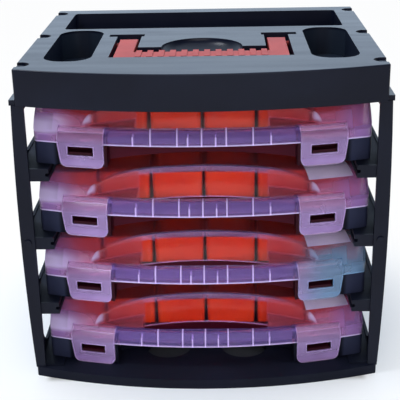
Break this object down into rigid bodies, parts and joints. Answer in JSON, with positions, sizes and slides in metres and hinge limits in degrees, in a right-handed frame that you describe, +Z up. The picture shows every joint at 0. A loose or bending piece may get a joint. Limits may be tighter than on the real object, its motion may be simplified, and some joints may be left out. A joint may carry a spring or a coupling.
{
  "type": "compartment storage box",
  "caption": "Portable carry rack with a folding handle and slide-in assortment cases, each with a latched translucent lid and lift-out bins for small parts.",
  "frame": {"origin": "middle of the footprint's bounding box, on the ground", "axes": "+Z up, the bowed front looks along -Y, +X to the right as seen from behind the front, which is right in the picture"},
  "size_m": [0.3412, 0.304, 0.308],
  "materials": {
    "rack_black": "satin moulded plastic, blue-black",
    "case_black": "satin moulded plastic, black",
    "lid_clear": "frosted translucent plastic",
    "bin_red": "moulded red plastic",
    "handle_red": "satin moulded red plastic",
    "pin_steel": "plain wire pin"
  },
  "bodies": {
    "rack": {"rack_top": "rack_black", "rack_side_left": "rack_black", "rack_side_right": "rack_black", "rack_floor": "rack_black", "rack_back": "rack_black"},
    "handle": {"carry_handle": "handle_red"},
    "case_1": {"case_1_base": "case_black", "case_1_lid": "lid_clear", "case_1_hinge_pin_left": "pin_steel", "case_1_hinge_pin_right": "pin_steel", "case_1_bins_front": "bin_red", "case_1_bins_rear": "bin_red"},
    "case_1_left_latch": {"case_1_latch_left": "lid_clear"},
    "case_1_right_latch": {"case_1_latch_right": "lid_clear"},
    "case_2": {"case_2_base": "case_black", "case_2_lid": "lid_clear", "case_2_hinge_pin_left": "pin_steel", "case_2_hinge_pin_right": "pin_steel", "case_2_bins_front": "bin_red", "case_2_bins_rear": "bin_red"},
    "case_2_left_latch": {"case_2_latch_left": "lid_clear"},
    "case_2_right_latch": {"case_2_latch_right": "lid_clear"},
    "case_3": {"case_3_base": "case_black", "case_3_lid": "lid_clear", "case_3_hinge_pin_left": "pin_steel", "case_3_hinge_pin_right": "pin_steel", "case_3_bins_front": "bin_red", "case_3_bins_rear": "bin_red"},
    "case_3_left_latch": {"case_3_latch_left": "lid_clear"},
    "case_3_right_latch": {"case_3_latch_right": "lid_clear"},
    "case_4": {"case_4_base": "case_black", "case_4_lid": "lid_clear", "case_4_hinge_pin_left": "pin_steel", "case_4_hinge_pin_right": "pin_steel", "case_4_bins_front": "bin_red", "case_4_bins_rear": "bin_red"},
    "case_4_left_latch": {"case_4_latch_left": "lid_clear"},
    "case_4_right_latch": {"case_4_latch_right": "lid_clear"}
  },
  "joints": [
    {"name": "handle_swing", "type": "hinge", "parent": "rack", "child": "handle", "pos_m": [0, -0.0045, 0.3005], "axis": [-1, 0, 0], "range_deg": [0, 90]},
    {"name": "case_1_slide", "type": "slide", "parent": "rack", "child": "case_1", "axis": [0, -1, 0], "range_m": [0, 0.27]},
    {"name": "case_1_left_latch_swing", "type": "hinge", "parent": "case_1", "child": "case_1_left_latch", "pos_m": [-0.10932, -0.11198, 0.2475], "axis": [-0.9757, 0.2191, 0], "range_deg": [0, 100]},
    {"name": "case_1_right_latch_swing", "type": "hinge", "parent": "case_1", "child": "case_1_right_latch", "pos_m": [0.10932, -0.11198, 0.2475], "axis": [-0.9757, -0.2191, 0], "range_deg": [0, 100]},
    {"name": "case_2_slide", "type": "slide", "parent": "rack", "child": "case_2", "axis": [0, -1, 0], "range_m": [0, 0.27]},
    {"name": "case_2_left_latch_swing", "type": "hinge", "parent": "case_2", "child": "case_2_left_latch", "pos_m": [-0.10932, -0.11198, 0.1795], "axis": [-0.9757, 0.2191, 0], "range_deg": [0, 100]},
    {"name": "case_2_right_latch_swing", "type": "hinge", "parent": "case_2", "child": "case_2_right_latch", "pos_m": [0.10932, -0.11198, 0.1795], "axis": [-0.9757, -0.2191, 0], "range_deg": [0, 100]},
    {"name": "case_3_slide", "type": "slide", "parent": "rack", "child": "case_3", "axis": [0, -1, 0], "range_m": [0, 0.27]},
    {"name": "case_3_left_latch_swing", "type": "hinge", "parent": "case_3", "child": "case_3_left_latch", "pos_m": [-0.10932, -0.11198, 0.1115], "axis": [-0.9757, 0.2191, 0], "range_deg": [0, 100]},
    {"name": "case_3_right_latch_swing", "type": "hinge", "parent": "case_3", "child": "case_3_right_latch", "pos_m": [0.10932, -0.11198, 0.1115], "axis": [-0.9757, -0.2191, 0], "range_deg": [0, 100]},
    {"name": "case_4_slide", "type": "slide", "parent": "rack", "child": "case_4", "axis": [0, -1, 0], "range_m": [0, 0.27]},
    {"name": "case_4_left_latch_swing", "type": "hinge", "parent": "case_4", "child": "case_4_left_latch", "pos_m": [-0.10932, -0.11198, 0.0435], "axis": [-0.9757, 0.2191, 0], "range_deg": [0, 100]},
    {"name": "case_4_right_latch_swing", "type": "hinge", "parent": "case_4", "child": "case_4_right_latch", "pos_m": [0.10932, -0.11198, 0.0435], "axis": [-0.9757, -0.2191, 0], "range_deg": [0, 100]}
  ]
}
